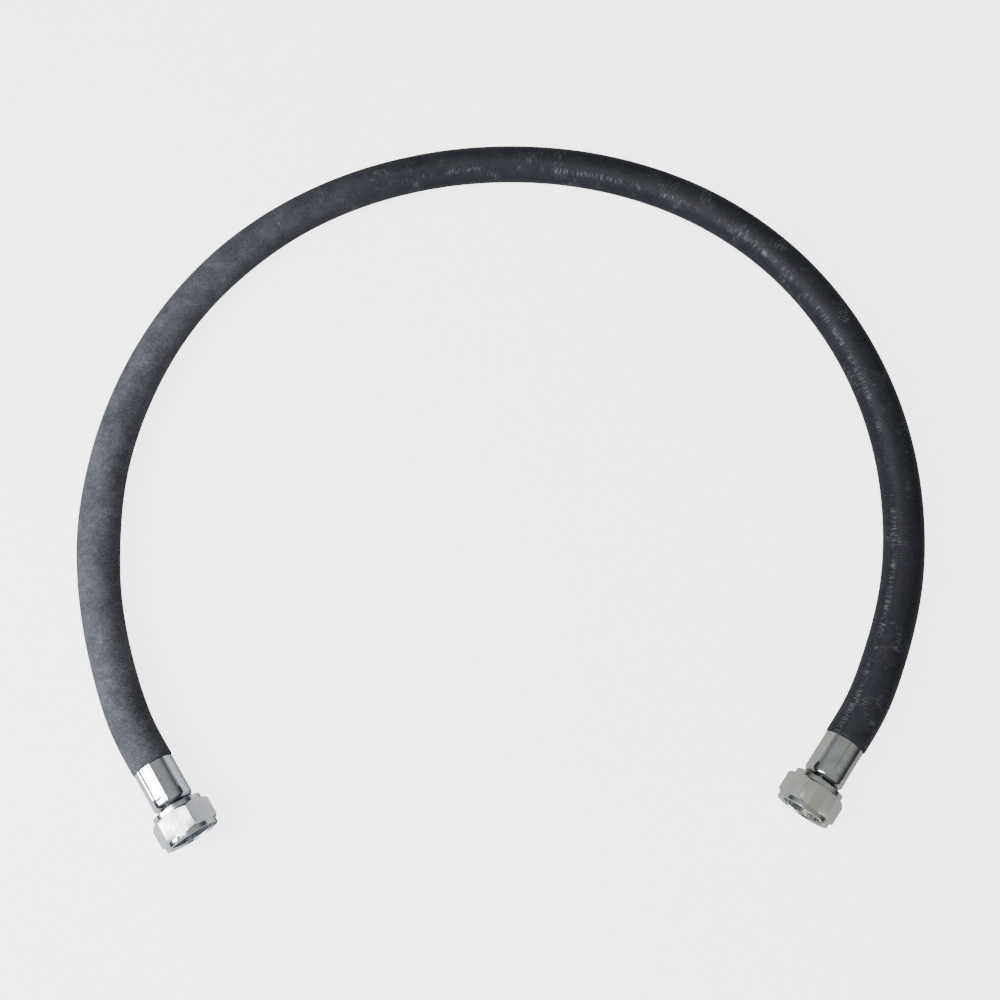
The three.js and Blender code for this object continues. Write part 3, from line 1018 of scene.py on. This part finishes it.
def make_nut_body():
    bm = bmesh.new()
    spin_outline(bm, nut_outline(), closed=False)
    for vert in bm.verts:
        radius = math.hypot(vert.co.y, vert.co.z) / MM
        if radius < REAR_ROW - 1:
            continue
        wanted = hexagon_radius(math.atan2(vert.co.y, vert.co.z))
        if radius < (REAR_ROW + FRONT_ROW) / 2:
            vert.co.x = (HEX_FROM + (wanted - HEX_FOOT) * CONE) * MM
        else:
            vert.co.x = (HEX_TO - max(0, wanted - RING) * CONE) * MM
        vert.co.y *= wanted / radius
        vert.co.z *= wanted / radius
    bmesh.ops.recalc_face_normals(bm, faces=bm.faces[:])
    return bm


def is_flat(face):
    """A face of the hexagon's flats: it looks straight out, and its middle is on the flat's plane."""
    middle = face.calc_center_median()
    depth = face.normal.dot((0, middle.y, middle.z))
    looks_out = abs(face.normal.x) < 0.02
    on_plane = abs(depth - FLATS / 2 * MM) < 0.02 * MM
    return looks_out and on_plane and face.calc_area() > MM**2


HEX_BEVEL = 0.22 * MM
BEVELLED_FROM = math.radians(25)  # an edge of a flat that turns less than this is left alone


def bevel_hexagon(bm):
    flats = {face for face in bm.faces if is_flat(face)}
    edges = []
    for edge in bm.edges:
        sides = [face in flats for face in edge.link_faces]
        if any(sides) and edge.calc_face_angle(0) > BEVELLED_FROM:
            edges.append(edge)
    bmesh.ops.bevel(
        bm,
        geom=edges,
        offset=HEX_BEVEL,
        offset_type="OFFSET",
        affect="EDGES",
        segments=2,
        profile=0.5,
        material=-1,
        clamp_overlap=True,
    )
    print(f"hexagon: {len(flats)} faces on its flats, {len(edges)} edges bevelled")


# %% [markdown]
# ## The thread
# The nut screws onto a port, so its mouth is threaded: 42 mm across, 2 mm from turn to turn. The
# light inside the mouth glints from turn to turn, which plain grooves would not do, so it is a real
# helix. Spin makes one: it sweeps one tooth round the axis while moving it along. The ends are
# cut square, and the flat ring between each cut and the body is filled. The flats and the thread
# have finishes of their own, so their faces are given a material index, counted in the order in
# which finish_piece gets the finishes.

# %% Thread
THREAD_PITCH = 2.0
THREAD_TURNS = 12  # more than fit between the two cuts
THREAD_STEPS = 72  # to a turn
THREAD_LEAD = 2.6  # how far behind the first cut the helix starts
TOOTH = ((0, 21), (0.25, 21), (0.875, 19.95), (1.375, 19.95), (2, 21))


def add_thread(bm):
    """Adds the helix inside the body and joins it to the body's two open rims."""
    before = set(bm.faces)
    start = THREAD_FROM - THREAD_LEAD
    tooth = [(start + x, r) for x, r in TOOTH]
    climb = THREAD_PITCH / THREAD_STEPS
    spin_outline(bm, tooth, closed=False, steps=THREAD_STEPS, turns=THREAD_TURNS, climb=climb)
    thread = [face for face in bm.faces if face not in before]
    points = list({v for f in thread for v in f.verts})
    bmesh.ops.remove_doubles(bm, verts=points, dist=WELD)
    for place, side in ((THREAD_FROM, -1), (THREAD_TO, 1)):
        thread = [face for face in bm.faces if face not in before]
        edges = list({e for f in thread for e in f.edges})
        points = list({v for f in thread for v in f.verts})
        bmesh.ops.bisect_plane(
            bm,
            geom=thread + edges + points,
            dist=WELD / 10,
            plane_co=(place * MM, 0, 0),
            plane_no=(side, 0, 0),
            clear_outer=True,
        )
        open_edges = [e for e in bm.edges if e.is_boundary]
        rims = [e for e in open_edges if all(abs(v.co.x - place * MM) < 2 * WELD for v in e.verts)]
        bmesh.ops.triangle_fill(bm, edges=rims, use_beauty=True, normal=(side, 0, 0))


FLAT_FACE, THREAD_FACE = 1, 2  # material indexes
NUT_SHARP = math.radians(22)


def make_nut():
    bm = make_nut_body()
    bevel_hexagon(bm)
    add_thread(bm)
    bmesh.ops.recalc_face_normals(bm, faces=bm.faces[:])
    loose = [e for e in bm.edges if len(e.link_faces) != 2]
    print(f"nut: {len(bm.faces)} faces, {len(loose)} edges that do not join two faces")
    flats = {face for face in bm.faces if is_flat(face)}
    map_turned(bm, flats)
    for face in bm.faces:
        middle = face.calc_center_median()
        if face in flats:
            face.material_index = FLAT_FACE
        elif middle.x > THREAD_FROM * MM and math.hypot(middle.y, middle.z) < THREAD_SKIN * MM:
            face.material_index = THREAD_FACE
    return bm


for end in FITTINGS:
    nut = place_at(make_nut(), end)
    name, body, node = f"hexagon_nut_{end}", f"nut_{end}", f"swivel_nut_{end}"
    more = [FLAT_ZINC, CUT_ZINC]
    finish_piece(nut, name, body, node, NUT_ZINC, NUT_SHARP, more)

# %% [markdown]
# ## Floor
# The floor is a plain pale sheet, far larger than the view. A studio sweep is lit until it is
# nearly white, but that much light bouncing up would wash the rubber out. So the camera sees a
# bright floor with soft shadows, while the object is lit by an ordinary pale one. The Light Path
# node tells the two apart.

# %% Floor
FLOOR_GLOW = 3.6  # light that the floor gives off, for the camera alone
FLOOR_SIZE = 6  # metres from its middle to each edge
FLOOR_GREYS = ((0.5, 0.5, 0.5, 1), (0.55, 0.55, 0.55, 1))


def pale_floor():
    material, tree, shader = new_material("pale floor", Roughness=0.9)
    place = add(tree, "TexCoord").outputs["Object"]
    cloud = patch_mask(tree, place, 3.0, 0.3, 0.7)
    pale = mixed(tree, cloud, *FLOOR_GREYS)
    tree.links.new(pale, shader.inputs["Base Color"])
    seen = add(tree, "LightPath").outputs["Is Camera Ray"]
    shader.inputs["Emission Color"].default_value = (1, 1, 1, 1)
    tree.links.new(math_of(tree, "MULTIPLY", seen, FLOOR_GLOW), shader.inputs["Emission Strength"])
    return material


floor_mesh = bpy.data.meshes.new("floor")
bm = bmesh.new()
bmesh.ops.create_grid(bm, x_segments=1, y_segments=1, size=FLOOR_SIZE)
bm.to_mesh(floor_mesh)
bm.free()
floor = bpy.data.objects.new("floor", floor_mesh)
bpy.context.scene.collection.objects.link(floor)
floor_mesh.materials.append(pale_floor())
floor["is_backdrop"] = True
print("floor:", 2 * FLOOR_SIZE, "m across")

# %% [markdown]
# ## Light
# Workshop daylight comes from a tall narrow window on the left, so a lamp of that shape stands
# there, close enough for its light to fall off towards the right. A second, larger lamp hangs high
# on the same side, and a weak one at the front, wide and low, shines into the mouths of the nuts.
# Polished metal shows whatever is around it, so the rest of the room is dimmer than the lamps, and
# dimmest at the horizon. That gives the fittings their dark bands between the bright ones.

# %% Lamps and room
def soft_lamp(name, place, aim, width, height, watts, colour=(1, 1, 1)):
    lamp = bpy.data.lights.new(name, "AREA")
    lamp.shape = "RECTANGLE"
    lamp.size = width
    lamp.size_y = height
    lamp.energy = watts
    lamp.color = colour
    stand = bpy.data.objects.new(name, lamp)
    stand.location = place
    stand.rotation_euler = (Vector(aim) - Vector(place)).to_track_quat("-Z", "Y").to_euler()
    bpy.context.scene.collection.objects.link(stand)
    print(f"{name} lamp: {width} by {height} m, {watts} W")


soft_lamp("window", (-1.18, -0.25, 0.92), (-0.3, 0.25, 0), 0.36, 0.9, 26, (0.9, 0.95, 1.0))
soft_lamp("overhead", (-1.15, 0.15, 1.8), (-0.35, 0.2, 0), 0.6, 1.3, 36, (1.0, 0.98, 0.97))
soft_lamp("doorway", (-0.05, -1.3, 0.2), (0, 0.1, 0.03), 1.3, 0.35, 12, (0.96, 0.98, 1.0))


HORIZON = (0.05, 0.055, 0.07, 1)
WINDOW_SIDE = (0.43, 0.45, 0.47, 1)  # the ceiling, on the left
FAR_SIDE = (0.44, 0.45, 0.43, 1)
BACKDROP = (2.6, 2.6, 2.6, 1)  # what the camera sees beyond the floor


def dim_room():
    """A room that is darkest at the horizon, and a little bluer on the side of the window."""
    world = bpy.data.worlds.new("room")
    world.use_nodes = True
    tree = world.node_tree
    facing = add(tree, "SeparateXYZ", {0: add(tree, "TexCoord").outputs["Generated"]})
    side = graded(tree, facing.outputs["X"], -0.5, 0.5)
    ceiling = mixed(tree, side, WINDOW_SIDE, FAR_SIDE)
    height = graded(tree, facing.outputs["Z"], 0.15, 0.75)
    room = mixed(tree, height, HORIZON, ceiling)
    seen = add(tree, "LightPath").outputs["Is Camera Ray"]
    shown = mixed(tree, seen, room, BACKDROP)
    tree.links.new(shown, tree.nodes["Background"].inputs["Color"])
    return world


bpy.context.scene.world = dim_room()

# %% [markdown]
# ## Size of both models
# The detailed pieces have to fill the same space as the imported model, so the sizes of both boxes
# are printed, one under the other.

# %% Size and finish
visual_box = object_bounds()
sizes = {"cad": [list(corner) for corner in cad_box], "visual": [list(corner) for corner in visual_box]}
for label, (low, high) in sizes.items():
    print(label, [round(h - l, 4) for l, h in zip(low, high)])
